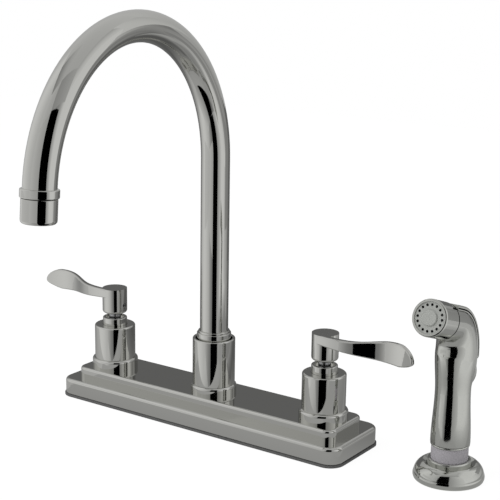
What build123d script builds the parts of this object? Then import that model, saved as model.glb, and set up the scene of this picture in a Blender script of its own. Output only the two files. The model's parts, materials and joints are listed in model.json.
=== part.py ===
# Two-handle kitchen faucet with a gooseneck spout and a side spray, made of its real pieces.
# Millimetres. The sink deck is the plane z = 0 and the spout turns about the z axis. The base runs along x,
# with the right handle on +x, and the user stands on the -y side.
from build123d import *
from math import cos, radians, sin
import os

# Clearances
running = 0.06                # radial, between a turning or sliding shaft and its hole
loose = 0.2                   # between pieces that only pass each other
inner_gap = 0.4               # around pieces that turn inside a housing
edge_match = 0.001            # within which an edge counts as the one looked for

# Base plate
handle_pitch = 203.2          # between the handle axes: the standard 8 inch spread
base_length = 265.4
base_depth = 66.8
base_corner_r = 11.0
lower_tier_height = 12.8      # above the gasket
upper_tier_height = 8.8       # above the lower tier
tier_side_inset = 9.7
tier_front_inset = 10.2
upper_corner_r = 7.5
lower_edge_r = 2.6
upper_edge_r = 2.0
cover_wall = 2.2
foot_groove = 0.6             # shadow line between the cover and the gasket
gasket_t = 1.8
gasket_overhang = 0.9

# Casting under the cover
casting_clearance = 1.2       # between the casting and the gasket
boss_gap = 1.4                # between a valve boss and the hub around it
boss_wall = 2.44
post_gap = 1.85               # by which the spout post is smaller than the collar
post_wall = 2.84
runner_r = 7.5
runner_lift = 0.7             # of the runner above the casting's foot
runner_bore_r = 4.2

# Deck fixings
deck_t = 20.0                 # sink deck that the nuts clamp
shank_r = 10.45               # half inch pipe thread, over the crests
shank_bore_r = 6.4
shank_length = 62.0           # below the deck
supply_thread = 22.0          # lower stretch of the shank, for the supply hose
relief_width = 2.0            # groove between the two threads of the shank
relief_depth = 0.8
washer_t = 2.0
washer_margin = 9.5           # of a washer around its shank
nut_height = 12.0
nut_wall = 6.0                # of a lock nut, at its flats
nut_flange_margin = 2.5       # of the nut's flange outside its flats
nut_flange_t = 3.0
nipple_r = 6.6                # quarter inch pipe thread for the spray hose
nipple_bore_r = 3.6
nipple_length = 45.0          # below the deck
nipple_shoulder = 1.5         # of the nipple's seat around its thread

# Handle stack
flange_margin = 2.1           # of the flange around the hub
flange_height = 7.8
flange_edge_r = 2.2
hub_r = 16.55
hub_wall = 2.15
hub_height = 27.5
hub_top_wall = 3.0
hub_edge_r = 1.3
cap_r = 9.9
cap_rise = 6.2                # of the cap above the hub
cap_edge_r = 0.7
cap_recess_wall = 2.3
cap_recess = 2.2
cap_foot_t = 4.0
cap_foot_inset = 0.4          # of the cap's foot from the edge of the boss
cap_room = 3.7                # between the cap's foot and the top of the hub
cartridge_length = 24.0
cartridge_wall = 1.5
disc_t = 3.2
port_r = 5.2                  # middle of the curved port in a ceramic disc
port_width = 3.6
port_arc = 100.0              # degrees
seal_t = 2.0
stem_r = 4.8
stem_flange_t = 3.0

# Levers
neck_height = 3.8             # of bare stem between the cap and the lever
lever_hub_r = 10.1
lever_hub_height = 20.6
lever_hub_edge_r = 2.2
lever_crown_t = 7.3           # of metal over the end of the stem
lever_reach = 77.6            # from the handle axis to the tip
lever_lead = 42.3             # along which the blade's curve leaves the front of the hub
lever_sweep_x = 37.4          # from the axis to where the blade's curve is pulled back
lever_sweep = 25.9            # pull of the blade's curve towards the back
lever_tip_set = 14.2          # of the tip behind the front of the hub
lever_root_t = 5.0
lever_tip_t = 3.2
lever_flat = 23.4             # from the axis to where the blade starts to rise
lever_root_depth = 7.2        # height of the blade at the hub
paddle_x = 63.2               # from the axis to where the blade is widest
paddle_rise = 4.1             # of the blade's crest above the hub
paddle_depth = 16.7           # height of the blade at its widest
paddle_ease = 0.45            # share of the rise to the crest that each end of its curve takes
brow_pull = 0.4               # fullness of the blade's outline from the crest round to the tip
brow_fall = 0.57
chin_pull = 0.56              # and from the tip round to the sole
sole_lead = 0.1
sole_ease = 0.3               # share of the sole over which it levels out at either end
tip_drop = 6.0                # of the tip below the top of the hub
lever_edge_r = 1.0
left_lever_turn = -2.6        # degrees back from square to the base, as the handles are left
right_lever_turn = -10.7
screw_r = 2.2
screw_rise = 6.7              # of the set screw above the bottom of the lever
screw_length = 4.2
screw_socket_r = 1.1
screw_socket = 2.6

# Spout
tube_r = 11.03
tube_wall = 1.2
bend_r = 103.5                # centreline of the gooseneck
riser_height = 141.4          # from the hub's rim to the start of the bend
bend_sweep = 175.0
spout_turn = 4.6              # degrees to the right of straight ahead
spout_flange_margin = 1.35
spout_flange_height = 6.2
spout_hub_r = 16.65
spout_hub_height = 36.9
spout_hub_wall = 2.35
spout_hub_edge_r = 0.9
collar_gap = 0.95             # dark ring between the collar and the hub
collar_rise = 6.0             # of the collar above the hub
collar_step = 1.6
collar_lip = 1.3              # wall of the collar's narrow top
collar_floor = 3.0
collar_edge_r = 0.5
post_drop = 8.5               # of the post below the hub's rim
bearing_t = 1.0
spigot_length = 36.0
spigot_wall = 2.8
plug_grip = 16.0              # of the stub inside the tube
ring_wire_r = 1.1
ring_drops = (14.0, 26.0)     # of the two O-rings below the top of the post
ferrule_wall = 1.62
ferrule_length = 5.8
ferrule_edge_r = 0.8
outlet_gap = 0.4              # dark line between the ferrule and the aerator
outlet_seal = 0.5             # of the washer inside the ferrule
aerator_margin = 0.72         # of the aerator around the tube
aerator_length = 16.0
aerator_lip_r = 2.6
aerator_edge_r = 0.4
aerator_wall = 0.73           # of the threaded neck
aerator_neck = 4.2
insert_recess = 1.6
insert_t = 4.0
stream_hole_r = 0.9
inner_stream_r = 3.0
inner_streams = 6
outer_stream_r = 6.2
outer_streams = 12

# Spray diverter inside the spout post
diverter_gap = 0.6            # inside the spigot's bore
diverter_wall = 1.8
diverter_height = 22.0
diverter_floor = 2.0
poppet_height = 12.0
poppet_pin_r = 1.6
poppet_pin = 5.0

# Spray holder
spray_x = 203.2               # fourth deck hole, 8 inches from the spout
spray_y = 6.0
bell_r = 25.4
bell_brow = 4.6               # height of the bell where it starts to close
bell_shoulder_r = 22.6
bell_shoulder = 9.4
bell_crest_r = 18.6
bell_crest = 12.2
bell_wall = 2.2
bell_lip = 0.6
ring_wall = 1.9
ring_foot = 10.2
ring_top = 14.8
ring_edge_r = 1.0
coupling_gap = 0.3            # between the wand's sleeve and the holder
holder_shank_r = 14.0
holder_shank_wall = 2.5
holder_shank_length = 42.0    # below the deck
holder_flange_margin = 5.0
holder_flange_t = 3.5

# Spray wand
sleeve_show = 12.2            # of the sleeve above the holder
sleeve_inset = 0.9            # of the sleeve inside the wand's lip
sleeve_hose_r = 8.0
sleeve_hose_depth = 14.0
wand_lip_r = 14.1
wand_wall = 2.3               # at the lip
socket_depth = 13.0
wand_waist_r = 12.5
wand_waist = 38.0             # above the lip
wand_bore_r = 5.0
wand_bore_depth = 46.0
shoulder_r = 14.0             # of the wand where its bend starts
elbow_y = -21.0               # centre of the wand's bend, from the wand's axis
elbow_rise = 64.0             # of that centre above the lip
shoulder_back = 16.0          # of the shoulder's back from the wand's axis, under the trigger
hump_height = 13.0            # of the spine below the trigger
hump_back = 18.2              # of the spine from the wand's axis
hump_front = 5.0
hump_half_width = 12.8
hump_toe_back = 11.6          # of its lower end, which sinks into the grip
hump_toe_half_width = 9.5
hump_fullness = 0.8           # share of its width that it has a third of the way up
head_tilt = 18.5              # degrees that the spray face looks up
head_r = 12.95
head_offset = 27.9            # from the centre of the bend to the head's axis
head_run = 11.0               # straight part of the head behind the nozzle cap
shoulder_steps = 7            # sections of the wand from its waist to its shoulder
bend_steps = 5                # from the shoulder round the bend
head_steps = 4                # and along the head
nozzle_length = 20.5
nozzle_wall = 1.9
nozzle_back_t = 2.0
nozzle_edge_r = 1.2
nozzle_neck_r = 9.0
nozzle_neck = 2.4
nozzle_heel_r = 0.4
seam = 0.9
seam_inset = 1.0
face_t = 2.6
face_recess = 0.8
spray_holes = 16
spray_hole_r = 0.95
spray_circle_r = 9.0
button_r = 5.4
button_height = 1.1
button_edge_r = 0.5

# Spray trigger
trigger_inner_r = 37.6        # from the centre of the wand's bend
trigger_t = 2.8
trigger_width = 19.4
trigger_run = 10.5            # along the head
trigger_tail = 6.9            # straight part below the bend
trigger_tail_r = 3.5
trigger_edge_r = 0.8
trigger_side_gap = 0.5
tail_room = 3.4               # behind the trigger for its travel
middle_room = 2.7
head_room = 1.3
shelf_room = 2.6              # below the trigger's tail
lug_width = 9.0
lug_r = 3.0
pivot_run = 4.0               # along the head, from the end of the bend
pivot_offset = 7.0            # from the head's axis
pin_r = 1.5
pin_length = 19.0
plunger_angle = 30.0          # up the bend from its start
plunger_r = 2.5
plunger_gap = 0.3             # between the plunger and the trigger
plunger_length = 16.0
plunger_stroke_room = 4.0

# Heights and radii that follow
half_pitch = handle_pitch / 2
lower_tier_top = gasket_t + lower_tier_height
upper_tier_top = lower_tier_top + upper_tier_height
casting_foot = gasket_t + casting_clearance
runner_z = casting_foot + runner_lift + runner_r
nut_top = -deck_t - washer_t

boss_r = hub_r - hub_wall - boss_gap
cartridge_r = boss_r - boss_wall - running
cavity_r = cartridge_r - cartridge_wall
flange_top = upper_tier_top + flange_height
hub_top = flange_top + hub_height
boss_top = hub_top - hub_top_wall - cap_room - cap_foot_t
cap_top = hub_top + cap_rise
cartridge_floor = boss_top - cartridge_length
fixed_disc_z = cartridge_floor + seal_t
moving_disc_z = fixed_disc_z + disc_t
stem_foot = moving_disc_z + disc_t
cavity_top = stem_foot + stem_flange_t + inner_gap
lever_bottom = cap_top + neck_height
lever_top = lever_bottom + lever_hub_height
stem_top = lever_top - lever_crown_t

spout_flange_top = upper_tier_top + spout_flange_height
spout_hub_top = spout_flange_top + spout_hub_height
collar_r = spout_hub_r - spout_hub_wall - collar_gap
post_r = collar_r - post_gap
post_top = spout_hub_top - post_drop
spigot_r = post_r - post_wall - running
spigot_bore_r = spigot_r - spigot_wall
spigot_bottom = post_top - spigot_length
collar_bottom = post_top + bearing_t
tube_bottom = collar_bottom + collar_floor
collar_top = spout_hub_top + collar_rise
tube_bore_r = tube_r - tube_wall
bend_z = spout_hub_top + riser_height
outlet_lean = 180 - bend_sweep
tube_end = -ferrule_length + outlet_seal
aerator_top = -ferrule_length - outlet_gap
aerator_bottom = aerator_top - aerator_length
aerator_r = tube_r + aerator_margin
aerator_neck_r = tube_bore_r - loose
aerator_bore_r = aerator_neck_r - aerator_wall
diverter_r = spigot_bore_r - diverter_gap
diverter_bore_r = diverter_r - diverter_wall
diverter_bottom = spigot_bottom - bearing_t
poppet_seat = diverter_bottom + diverter_floor

sleeve_r = wand_lip_r - sleeve_inset
holder_bore_r = sleeve_r + coupling_gap
ring_r = holder_bore_r + ring_wall
holder_flange_top = bell_lip + holder_flange_t
sleeve_bottom = holder_flange_top + coupling_gap
wand_bottom = ring_top + sleeve_show
waist_z = wand_bottom + wand_waist
elbow_z = wand_bottom + elbow_rise
socket_r = wand_lip_r - wand_wall
elbow_turn = 90 - head_tilt
face_top = nozzle_length - face_recess
face_r = head_r - nozzle_wall
shelf_z = elbow_z - trigger_tail - shelf_room


# Round bar on the z axis
def bar(radius, bottom, top):
    return Pos(0, 0, bottom) * Cylinder(radius, top - bottom, align=(Align.CENTER, Align.CENTER, Align.MIN))


# Round tube on the z axis
def tube(outer, bore, bottom, top):
    return bar(outer, bottom, top) - bar(bore, bottom, top)


# Round bar along x through a point (y, z)
def cross_bar(point, radius, length):
    return Pos(0, *point) * Rot(0, 90, 0) * Cylinder(radius, length)


# Level plate with rounded corners, centred on the z axis
def plate(length, depth, corner, bottom, top):
    return Pos(0, 0, bottom) * extrude(RectangleRounded(length, depth, corner), top - bottom)


# Circular edges of a turned piece at one radius and height
def rim(shape, radius, height):
    circles = shape.edges().filter_by(GeomType.CIRCLE)
    level = [e for e in circles if abs(e.arc_center.Z - height) < edge_match]
    return [e for e in level if abs(e.radius - radius) < edge_match]


# Hexagonal lock nut with a round bearing flange on top
def flanged_nut(thread_r):
    flats_r = thread_r + nut_wall
    nut_bottom = nut_top - nut_height
    hexagon = extrude(RegularPolygon(flats_r, 6, major_radius=False), nut_height)
    flange = bar(flats_r + nut_flange_margin, nut_top - nut_flange_t, nut_top)
    return Pos(0, 0, nut_bottom) * hexagon + flange - bar(thread_r + running, nut_bottom, nut_top)


# Base plate
def base_cover():
    lower = plate(base_length, base_depth, base_corner_r, gasket_t, lower_tier_top)
    lower = fillet(lower.faces().sort_by(Axis.Z)[-1].edges(), lower_edge_r)
    upper_length = base_length - 2 * tier_side_inset
    upper_depth = base_depth - 2 * tier_front_inset
    upper = plate(upper_length, upper_depth, upper_corner_r, gasket_t, upper_tier_top)
    upper = fillet(upper.faces().sort_by(Axis.Z)[-1].edges(), upper_edge_r)
    foot = plate(base_length - 2 * foot_groove, base_depth - 2 * foot_groove, base_corner_r - foot_groove,
                 gasket_t, gasket_t + foot_groove)
    skirt = plate(base_length, base_depth, base_corner_r, gasket_t, gasket_t + foot_groove) - foot
    hollow = plate(base_length - 2 * cover_wall, base_depth - 2 * cover_wall, base_corner_r - cover_wall,
                   gasket_t, lower_tier_top - cover_wall)
    hollow += plate(upper_length - 2 * cover_wall, upper_depth - 2 * cover_wall, upper_corner_r - cover_wall,
                    gasket_t, upper_tier_top - cover_wall)
    for x, radius in ((-half_pitch, boss_r), (0, post_r), (half_pitch, boss_r)):
        hollow += Pos(x, 0, 0) * bar(radius + loose, gasket_t, upper_tier_top)
    return lower + upper - skirt - hollow


def base_gasket():
    sheet = plate(base_length + 2 * gasket_overhang, base_depth + 2 * gasket_overhang,
                  base_corner_r + gasket_overhang, 0, gasket_t)
    for x, radius in ((-half_pitch, shank_r), (0, nipple_r + nipple_shoulder), (half_pitch, shank_r)):
        sheet -= Pos(x, 0, 0) * bar(radius + loose, 0, gasket_t)
    return sheet


def waterway_body():
    casting = cross_bar((0, runner_z), runner_r, handle_pitch) + bar(post_r, casting_foot, post_top)
    for x in (-half_pitch, half_pitch):
        casting += Pos(x, 0, 0) * bar(boss_r, casting_foot, boss_top)
    casting -= cross_bar((0, runner_z), runner_bore_r, handle_pitch)
    for x in (-half_pitch, half_pitch):
        casting -= Pos(x, 0, 0) * bar(cartridge_r + running, cartridge_floor, boss_top)
        casting -= Pos(x, 0, 0) * bar(shank_bore_r, casting_foot, cartridge_floor)
    casting -= bar(spigot_r + running, diverter_bottom, post_top)
    return casting - bar(nipple_bore_r, casting_foot, diverter_bottom)


# Deck fixings
def inlet_shank():
    relief_z = supply_thread - shank_length
    shank = tube(shank_r, shank_bore_r, -shank_length, casting_foot)
    return shank - tube(shank_r, shank_r - relief_depth, relief_z, relief_z + relief_width)


def clamp_washer(thread_r):
    return tube(thread_r + washer_margin, thread_r + loose, nut_top, -deck_t)


def spray_nipple():
    nipple = bar(nipple_r, -nipple_length, casting_foot) + bar(nipple_r + nipple_shoulder, 0, casting_foot)
    return nipple - bar(nipple_bore_r, -nipple_length, casting_foot)


# Handle stack
def foot_flange(radius, bore, top):
    ring = tube(radius, bore, upper_tier_top, top)
    return fillet(rim(ring, radius, top), flange_edge_r)


def valve_hub():
    cup = bar(hub_r, flange_top, hub_top) - bar(hub_r - hub_wall, flange_top, hub_top - hub_top_wall)
    cup -= bar(cap_r + loose, flange_top, hub_top)
    return fillet(rim(cup, hub_r, hub_top), hub_edge_r)


def valve_cap():
    cap = bar(boss_r - cap_foot_inset, boss_top, boss_top + cap_foot_t) + bar(cap_r, boss_top, cap_top)
    cap = fillet(rim(cap, cap_r, cap_top), cap_edge_r)
    cap -= bar(cap_r - cap_recess_wall, cap_top - cap_recess, cap_top)
    return cap - bar(stem_r + running, boss_top, cap_top)


def cartridge_body():
    body = bar(cartridge_r, fixed_disc_z, boss_top) - bar(cavity_r, fixed_disc_z, cavity_top)
    body -= bar(stem_r + running, cavity_top, boss_top)
    return body - bar(stem_r + seal_t, boss_top - seal_t, boss_top)


def seat_seal():
    return tube(cartridge_r, shank_bore_r, cartridge_floor, fixed_disc_z)


def stem_seal():
    return tube(stem_r + seal_t, stem_r + running, boss_top - seal_t, boss_top)


def ceramic_disc(radius, bottom):
    port = SlotArc(CenterArc((0, 0), port_r, -port_arc / 2, port_arc), port_width)
    return bar(radius, bottom, bottom + disc_t) - Pos(0, 0, bottom) * extrude(port, disc_t)


def valve_stem():
    return bar(cavity_r - inner_gap, stem_foot, stem_foot + stem_flange_t) + bar(stem_r, stem_foot, stem_top)


# Blade along +x: leaves the hub at its front, sweeps back, recurves to the tip and widens to a paddle
def lever_blade():
    front_y = -lever_hub_r
    back_y = front_y + lever_root_t
    tip_y = front_y + lever_tip_set
    middle_t = (lever_root_t + lever_tip_t) / 2
    swept_y = front_y + lever_sweep
    front = Bezier((0, front_y), (lever_lead, front_y), (lever_sweep_x, swept_y), (lever_reach, tip_y))
    back = Bezier((lever_reach, tip_y + lever_tip_t), (lever_sweep_x, swept_y + middle_t), (lever_lead, back_y),
                  (0, back_y))
    plan = make_face([front, Line(front @ 1, back @ 0), back, Line(back @ 1, front @ 0)])

    crest = lever_top + paddle_rise
    sole = crest - paddle_depth
    tip_z = lever_top - tip_drop
    root_z = lever_top - lever_root_depth
    rise = paddle_ease * (paddle_x - lever_flat)
    overhang = lever_reach - paddle_x
    top_line = Line((0, lever_top), (lever_flat, lever_top))
    rise_line = Bezier((lever_flat, lever_top), (lever_flat + rise, lever_top), (paddle_x - rise, crest),
                       (paddle_x, crest))
    brow_line = Bezier((paddle_x, crest), (paddle_x + brow_pull * overhang, crest),
                       (lever_reach, tip_z + brow_fall * (crest - tip_z)), (lever_reach, tip_z))
    chin_line = Bezier((lever_reach, tip_z), (lever_reach, tip_z - chin_pull * (tip_z - sole)),
                       (paddle_x + sole_lead * overhang, sole), (paddle_x, sole))
    sole_line = Bezier((paddle_x, sole), ((1 - sole_ease) * paddle_x, sole), (sole_ease * paddle_x, root_z),
                       (0, root_z))
    side = make_face([top_line, rise_line, brow_line, chin_line, sole_line, Line((0, root_z), (0, lever_top))])

    tall = Pos(0, 0, lever_bottom) * extrude(plan, lever_hub_height + 2 * paddle_rise)
    blade = tall & extrude(Plane.XZ * side, lever_reach, both=True)
    return fillet(blade.faces().sort_by(SortBy.AREA)[-2:].edges(), lever_edge_r)


def handle_lever():
    hub = bar(lever_hub_r, lever_bottom, lever_top)
    hub = fillet(rim(hub, lever_hub_r, lever_bottom), lever_hub_edge_r)
    lever = hub + lever_blade() - bar(stem_r, lever_bottom, stem_top)
    drill = Rot(0, -90, 0) * bar(screw_r, 0, 2 * lever_hub_r)
    return lever - Pos(0, 0, lever_bottom + screw_rise) * drill


def set_screw():
    end = stem_r + screw_length
    grub = bar(screw_r, stem_r, end) - bar(screw_socket_r, end - screw_socket, end)
    return Pos(0, 0, lever_bottom + screw_rise) * Rot(0, -90, 0) * grub


# Turns a piece that is drawn straight ahead to where the spout is left
def spout_frame(shape):
    return Rot(0, 0, spout_turn) * shape


# Moves a piece drawn about z, below z = 0, to the end of the gooseneck
def outlet_frame(shape):
    reach = bend_r * (1 + cos(radians(outlet_lean)))
    end_z = bend_z + bend_r * sin(radians(outlet_lean))
    return spout_frame(Pos(0, -reach, end_z) * Rot(-outlet_lean, 0, 0) * shape)


# Riser and bend of the gooseneck as one round bar
def gooseneck(radius):
    bend_axis = Axis((0, -bend_r, bend_z), (1, 0, 0))
    return bar(radius, tube_bottom, bend_z) + revolve(Pos(0, 0, bend_z) * Circle(radius), bend_axis, bend_sweep)


def spout_tube():
    straight_end = tube(tube_r, tube_bore_r, tube_end, 0)
    return spout_frame(gooseneck(tube_r) - gooseneck(tube_bore_r)) + outlet_frame(straight_end)


def spout_collar():
    lip_r = tube_r + collar_lip
    step_z = collar_top - collar_step
    collar = bar(collar_r, collar_bottom, step_z) + bar(lip_r, collar_bottom, collar_top)
    collar = fillet(rim(collar, collar_r, step_z) + rim(collar, lip_r, collar_top), collar_edge_r)
    return collar - bar(tube_r, tube_bottom, collar_top) - bar(spigot_r, collar_bottom, tube_bottom)


def spout_stub():
    stub = bar(tube_bore_r, tube_bottom, tube_bottom + plug_grip) + bar(spigot_r, spigot_bottom, tube_bottom)
    stub -= bar(spigot_bore_r, spigot_bottom, tube_bottom + plug_grip)
    for drop in ring_drops:
        middle = post_top - drop
        stub -= tube(spigot_r + loose, spigot_r - 2 * ring_wire_r, middle - ring_wire_r, middle + ring_wire_r)
    return stub


def spout_o_ring(drop):
    return Pos(0, 0, post_top - drop) * Torus(spigot_r - ring_wire_r, ring_wire_r)


def spout_hub():
    cup_r = spout_hub_r - spout_hub_wall
    cup = tube(spout_hub_r, cup_r, spout_flange_top, spout_hub_top)
    return fillet(rim(cup, spout_hub_r, spout_hub_top) + rim(cup, cup_r, spout_hub_top), spout_hub_edge_r)


def spout_bearing():
    return tube(post_r, spigot_r + loose, post_top, collar_bottom)


def outlet_ferrule():
    ferrule_r = tube_r + ferrule_wall
    ring = tube(ferrule_r, tube_r, -ferrule_length, 0)
    edges = rim(ring, ferrule_r, 0) + rim(ring, ferrule_r, -ferrule_length)
    return outlet_frame(fillet(edges, ferrule_edge_r))


def aerator_washer():
    return outlet_frame(tube(tube_r, aerator_neck_r, aerator_top, tube_end))


def aerator_shell():
    shell = bar(aerator_r, aerator_bottom, aerator_top)
    shell = fillet(rim(shell, aerator_r, aerator_bottom), aerator_lip_r)
    shell = fillet(rim(shell, aerator_r, aerator_top), aerator_edge_r)
    shell += bar(aerator_neck_r, aerator_top, aerator_top + aerator_neck)
    return outlet_frame(shell - bar(aerator_bore_r, aerator_bottom, aerator_top + aerator_neck))


def aerator_insert():
    bottom = aerator_bottom + insert_recess
    insert = bar(aerator_bore_r, bottom, bottom + insert_t)
    for radius, count in ((inner_stream_r, inner_streams), (outer_stream_r, outer_streams)):
        for spot in PolarLocations(radius, count):
            insert -= spot * bar(stream_hole_r, bottom, bottom + insert_t)
    return outlet_frame(insert)


# Diverter
def diverter_cage():
    top = diverter_bottom + diverter_height
    return bar(diverter_r, diverter_bottom, top) - bar(diverter_bore_r, poppet_seat, top)


def diverter_poppet():
    crown = poppet_seat + poppet_height
    return bar(diverter_bore_r - running, poppet_seat, crown) + bar(poppet_pin_r, crown, crown + poppet_pin)


# Moves a piece drawn about z to the spray's deck hole
def spray_frame(shape):
    return Pos(spray_x, spray_y, 0) * shape


# Spray holder
def holder_bell():
    rim_r = bell_r - bell_lip
    wall = ThreePointArc((rim_r, 0), (bell_r, bell_brow / 2), (rim_r, bell_brow))
    dome = ThreePointArc((rim_r, bell_brow), (bell_shoulder_r, bell_shoulder), (bell_crest_r, bell_crest))
    ring = Polyline((bell_crest_r, bell_crest), (ring_r, ring_foot), (ring_r, ring_top), (0, ring_top))
    core = Polyline((0, ring_top), (0, 0), (rim_r, 0))
    bell = revolve(Plane.XZ * make_face([wall, dome, *ring.edges(), *core.edges()]), Axis.Z)
    bell = fillet(rim(bell, ring_r, ring_top), ring_edge_r)
    hollow = bar(rim_r - bell_wall, 0, holder_flange_top)
    hollow += bar(bell_crest_r, 0, ring_foot - bell_wall)
    return spray_frame(bell - hollow - bar(holder_bore_r, 0, ring_top))


def holder_shank():
    bore = holder_shank_r - holder_shank_wall
    shank = tube(holder_shank_r, bore, -holder_shank_length, holder_flange_top)
    return spray_frame(shank + tube(holder_shank_r + holder_flange_margin, bore, bell_lip, holder_flange_top))


# Point (y, z) at a radius and an angle about the centre of the wand's bend
def bend_point(radius, angle):
    return elbow_y + radius * cos(radians(angle)), elbow_z + radius * sin(radians(angle))


# Point (y, z) along the head from the end of the bend, offset towards the head's top
def head_point(run, offset):
    y, z = bend_point(head_offset + offset, elbow_turn)
    return y - run * cos(radians(head_tilt)), z + run * sin(radians(head_tilt))


# Moves a piece drawn about z, facing +z, to the seam between the head and the nozzle
def nozzle_frame(shape):
    return Pos(0, *head_point(head_run, 0)) * Rot(elbow_turn, 0, 0) * shape


# Moves a piece drawn about z, below z = 0, to under the trigger, pointing into the wand
def plunger_frame(shape):
    tip = bend_point(trigger_inner_r - plunger_gap, plunger_angle)
    return Pos(0, *tip) * Rot(plunger_angle - 90, 0, 0) * shape


# Oval section of the wand in a level plane
def level_section(height, front, back, half_width):
    middle = Plane(origin=(0, (back - front) / 2, height), x_dir=(0, 1, 0), z_dir=(0, 0, 1))
    return middle * Ellipse((front + back) / 2, half_width)


# Oval section of the wand across its bend, between two radii about the bend's centre
def bend_section(angle, near, far, half_width, run=0):
    outward = Vector(0, cos(radians(angle)), sin(radians(angle)))
    onward = Vector(0, -sin(radians(angle)), cos(radians(angle)))
    origin = Vector(0, elbow_y, elbow_z) + outward * ((near + far) / 2) + onward * run
    return Plane(origin=origin, x_dir=outward, z_dir=onward) * Ellipse((far - near) / 2, half_width)


# Share of a change that is level at both ends
def eased(share):
    return share * share * (3 - 2 * share)


# Grip turned from the lip to the waist, then a loft up to the shoulder and round the bend to the head
def wand_form():
    grip_line = Spline((wand_lip_r, wand_bottom), (wand_waist_r, waist_z), tangents=[(0, 1), (0, 1)])
    grip_sides = Polyline(grip_line @ 1, (0, waist_z), (0, wand_bottom), grip_line @ 0)
    grip = revolve(Plane.XZ * make_face([grip_line, *grip_sides.edges()]), Axis.Z)

    sections = []
    for step in range(shoulder_steps):
        share = step / shoulder_steps
        radius = wand_waist_r + eased(share) * (shoulder_r - wand_waist_r)
        back = wand_waist_r + eased(share) * (shoulder_back - wand_waist_r)
        sections.append(level_section(waist_z + share * (elbow_z - waist_z), radius, back, radius))
    shoulder_near = -elbow_y - shoulder_r
    shoulder_far = -elbow_y + shoulder_back
    near = head_offset - head_r
    far = head_offset + head_r
    for step in range(bend_steps + 1):
        share = step / bend_steps
        section_near = shoulder_near + eased(share) * (near - shoulder_near)
        section_far = shoulder_far + eased(share) * (far - shoulder_far)
        half_width = shoulder_r + eased(share) * (head_r - shoulder_r)
        sections.append(bend_section(share * elbow_turn, section_near, section_far, half_width))
    for step in range(head_steps):
        sections.append(bend_section(elbow_turn, near, far, head_r, head_run * (step + 1) / head_steps))
    return grip + loft(sections)


# Spine that carries the line of the trigger on down the wand's back
def wand_hump():
    toe_z = shelf_z - hump_height
    full_back = hump_toe_back + hump_fullness * (hump_back - hump_toe_back)
    full_width = hump_toe_half_width + hump_fullness * (hump_half_width - hump_toe_half_width)
    return loft([
        level_section(toe_z, hump_front, hump_toe_back, hump_toe_half_width),
        level_section(toe_z + hump_height / 3, hump_front, full_back, full_width),
        level_section(shelf_z, hump_front, hump_back, hump_half_width),
    ])


# Room in the wand's back for the trigger and its travel
def trigger_channel():
    half_width = trigger_width / 2 + trigger_side_gap
    floor = trigger_inner_r - head_offset - head_room
    tail = bend_point(trigger_inner_r - tail_room, 0)
    head = head_point(0, floor)
    nose = head_point(head_run, floor)
    above = head_point(head_run, 2 * head_r)
    far_y = elbow_y + 2 * trigger_inner_r
    curve = ThreePointArc(tail, bend_point(trigger_inner_r - middle_room, elbow_turn / 2), head)
    rest = Polyline(head, nose, above, (far_y, above[1]), (far_y, shelf_z), (tail[0], shelf_z), tail)
    return extrude(Plane.YZ * make_face([curve, *rest.edges()]), half_width, both=True)


# Lug that hangs from the trigger to its pivot, grown by a gap
def trigger_lug(gap):
    pivot = head_point(pivot_run, pivot_offset)
    height = trigger_inner_r - head_offset + trigger_t / 2 - pivot_offset
    web = Box(lug_width + 2 * gap, 2 * (lug_r + gap), height, align=(Align.CENTER, Align.CENTER, Align.MIN))
    return cross_bar(pivot, lug_r + gap, lug_width + 2 * gap) + Pos(0, *pivot) * Rot(-head_tilt, 0, 0) * web


def wand_body():
    wand = wand_form() + wand_hump() - trigger_channel() - trigger_lug(inner_gap)
    wand -= bar(socket_r, wand_bottom, wand_bottom + socket_depth)
    wand -= bar(wand_bore_r, wand_bottom, wand_bottom + wand_bore_depth)
    plunger_well = bar(plunger_r + running, -plunger_length - plunger_stroke_room, tail_room)
    wand -= plunger_frame(plunger_well)
    wand -= cross_bar(head_point(pivot_run, pivot_offset), pin_r, pin_length)
    return spray_frame(wand - nozzle_frame(bar(nozzle_neck_r, -nozzle_neck, 0)))


def hose_coupling():
    sleeve = bar(sleeve_r, sleeve_bottom, wand_bottom)
    sleeve += bar(socket_r - running, wand_bottom, wand_bottom + socket_depth - loose)
    sleeve -= bar(sleeve_hose_r, sleeve_bottom, sleeve_bottom + sleeve_hose_depth)
    return spray_frame(sleeve - bar(wand_bore_r, sleeve_bottom, wand_bottom + socket_depth))


def nozzle_seal():
    return spray_frame(nozzle_frame(tube(head_r - seam_inset, nozzle_neck_r, 0, seam)))


def nozzle_cap():
    cap = bar(head_r, seam, nozzle_length)
    cap = fillet(rim(cap, head_r, nozzle_length), nozzle_edge_r)
    cap = fillet(rim(cap, head_r, seam), nozzle_heel_r)
    cap -= bar(face_r, seam + nozzle_back_t, nozzle_length)
    cap += bar(nozzle_neck_r, -nozzle_neck, seam + nozzle_back_t)
    return spray_frame(nozzle_frame(cap - bar(wand_bore_r, -nozzle_neck, seam + nozzle_back_t)))


def spray_face():
    face = bar(face_r, face_top - face_t, face_top)
    for spot in PolarLocations(spray_circle_r, spray_holes):
        face -= spot * bar(spray_hole_r, face_top - face_t, face_top)
    return spray_frame(nozzle_frame(face))


def face_button():
    button = bar(button_r, face_top, face_top + button_height)
    return spray_frame(nozzle_frame(fillet(rim(button, button_r, face_top + button_height), button_edge_r)))


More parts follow.
